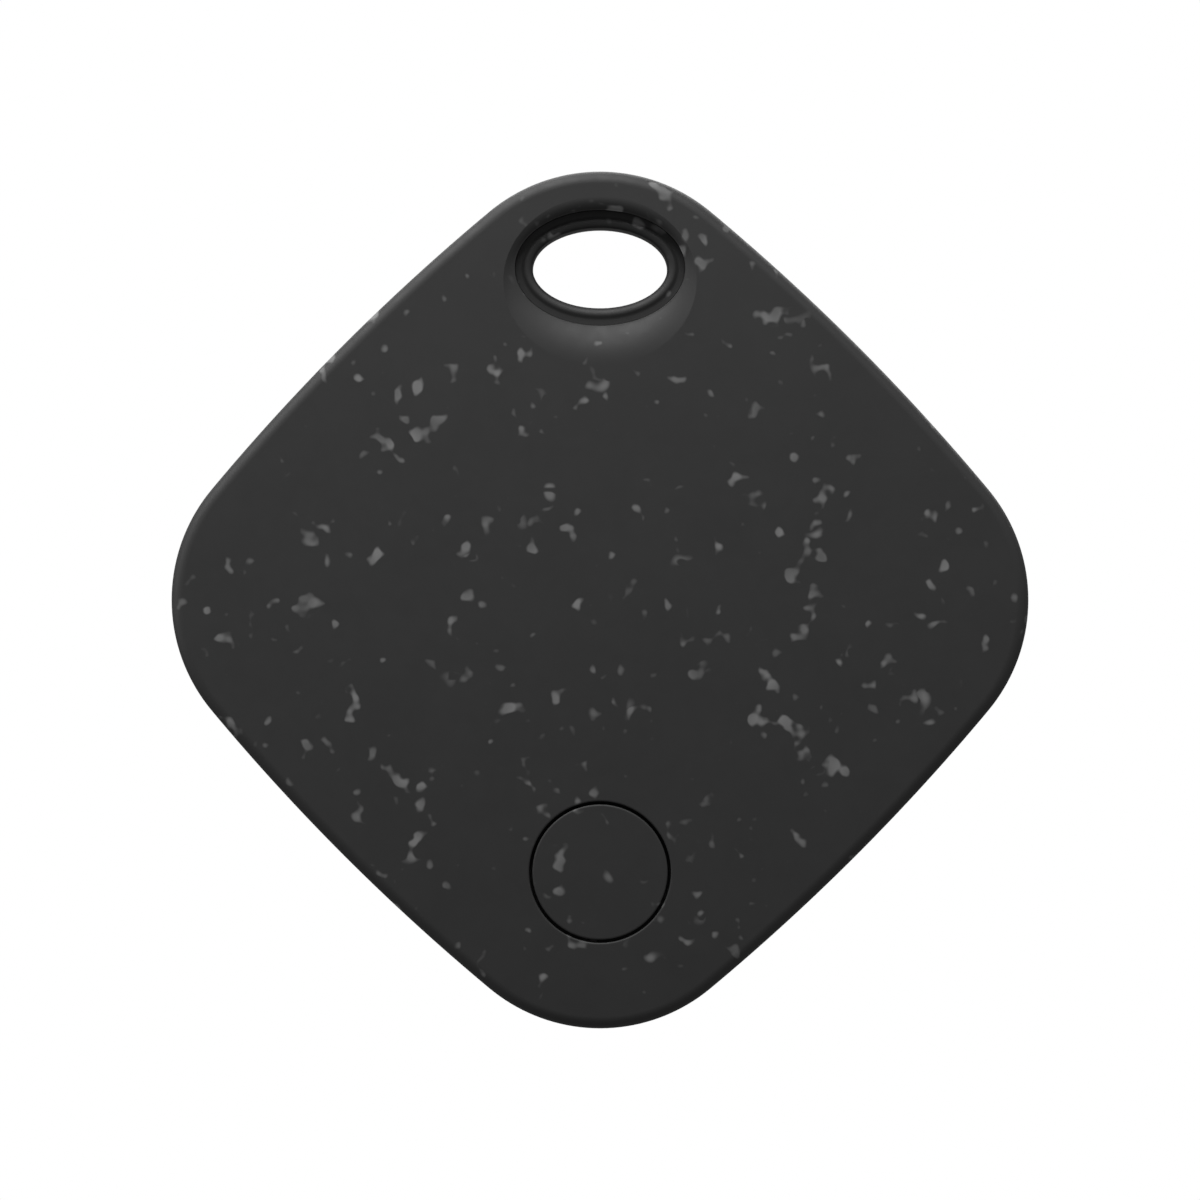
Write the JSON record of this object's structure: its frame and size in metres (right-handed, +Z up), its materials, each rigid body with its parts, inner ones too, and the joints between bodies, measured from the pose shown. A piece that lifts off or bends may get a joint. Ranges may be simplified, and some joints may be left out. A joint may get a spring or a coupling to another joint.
{
  "type": "bluetooth tracker tag",
  "caption": "Small domed rounded-square tracker tag that hangs on one corner, with an oval key-ring hole, a flush round button and a twist-off battery door.",
  "frame": {"origin": "centre of the key-ring hole, midway through the tag's thickness", "axes": "+Z up, from the button corner to the key-ring corner; -Y out of the face; +X to the right seen from the front"},
  "size_m": [0.039, 0.008, 0.039],
  "materials": {
    "shell": "satin",
    "inner_plastic": "matte",
    "silicone": "matte",
    "foam": "matte",
    "circuit_board": "satin",
    "chip_plastic": "satin",
    "ferrite": "matte",
    "white_ceramic": "matte",
    "capacitor_ceramic": "satin",
    "cell_filling": "matte",
    "steel": "satin",
    "gold_plate": "satin",
    "brass_sheet": "satin"
  },
  "bodies": {
    "housing": {"front_shell": "shell", "rear_shell": "shell", "shell_gasket": "silicone", "button_membrane": "silicone", "switch_body": "chip_plastic", "switch_cover": "steel", "battery_tray": "inner_plastic", "main_board": "circuit_board", "negative_contact": "gold_plate", "positive_contact": "gold_plate", "bluetooth_chip": "chip_plastic", "buzzer_driver": "chip_plastic", "radio_crystal": "steel", "clock_crystal": "white_ceramic", "chip_antenna": "white_ceramic", "boost_inductor": "ferrite", "buzzer_adhesive": "foam", "buzzer_disc": "brass_sheet", "buzzer_ceramic": "white_ceramic", "buzzer_spring_centre": "gold_plate", "buzzer_spring_edge": "gold_plate", "capacitor_1": "capacitor_ceramic", "capacitor_2": "capacitor_ceramic", "capacitor_3": "capacitor_ceramic", "capacitor_4": "capacitor_ceramic", "capacitor_5": "capacitor_ceramic", "capacitor_6": "capacitor_ceramic", "board_screw_1": "steel", "board_screw_2": "steel", "board_screw_3": "steel", "board_screw_4": "steel"},
    "button": {"button_cap": "shell"},
    "plunger": {"switch_plunger": "chip_plastic"},
    "door_ring": {"door_seal": "silicone"},
    "door": {"battery_door": "shell", "door_pad": "foam"},
    "cell": {"battery_can": "steel", "battery_cap": "steel", "battery_gasket": "inner_plastic", "battery_core": "cell_filling"}
  },
  "joints": [
    {"name": "button_press", "type": "slide", "parent": "housing", "child": "button", "axis": [0, 1, 0], "range_m": [0, 0.00025], "stiffness_N_per_m": 400, "deforming": ["button_membrane"]},
    {"name": "plunger_press", "type": "slide", "parent": "housing", "child": "plunger", "axis": [0, 1, 0], "range_m": [0, 0.00015]},
    {"name": "door_lift", "type": "slide", "parent": "housing", "child": "door_ring", "axis": [0, 1, 0], "range_m": [0, 0.012]},
    {"name": "door_twist", "type": "hinge", "parent": "door_ring", "child": "door", "pos_m": [0, 0.0035, -0.01571], "axis": [0, -1, 0], "range_deg": [0, 30]},
    {"name": "cell_lift", "type": "slide", "parent": "housing", "child": "cell", "axis": [0, 1, 0], "range_m": [0, 0.006]}
  ],
  "couplings": [
    {"joint": "plunger_press", "follows": "button_press", "ratio": 0.6},
    {"joint": "cell_lift", "follows": "door_lift", "ratio": 0.5}
  ]
}
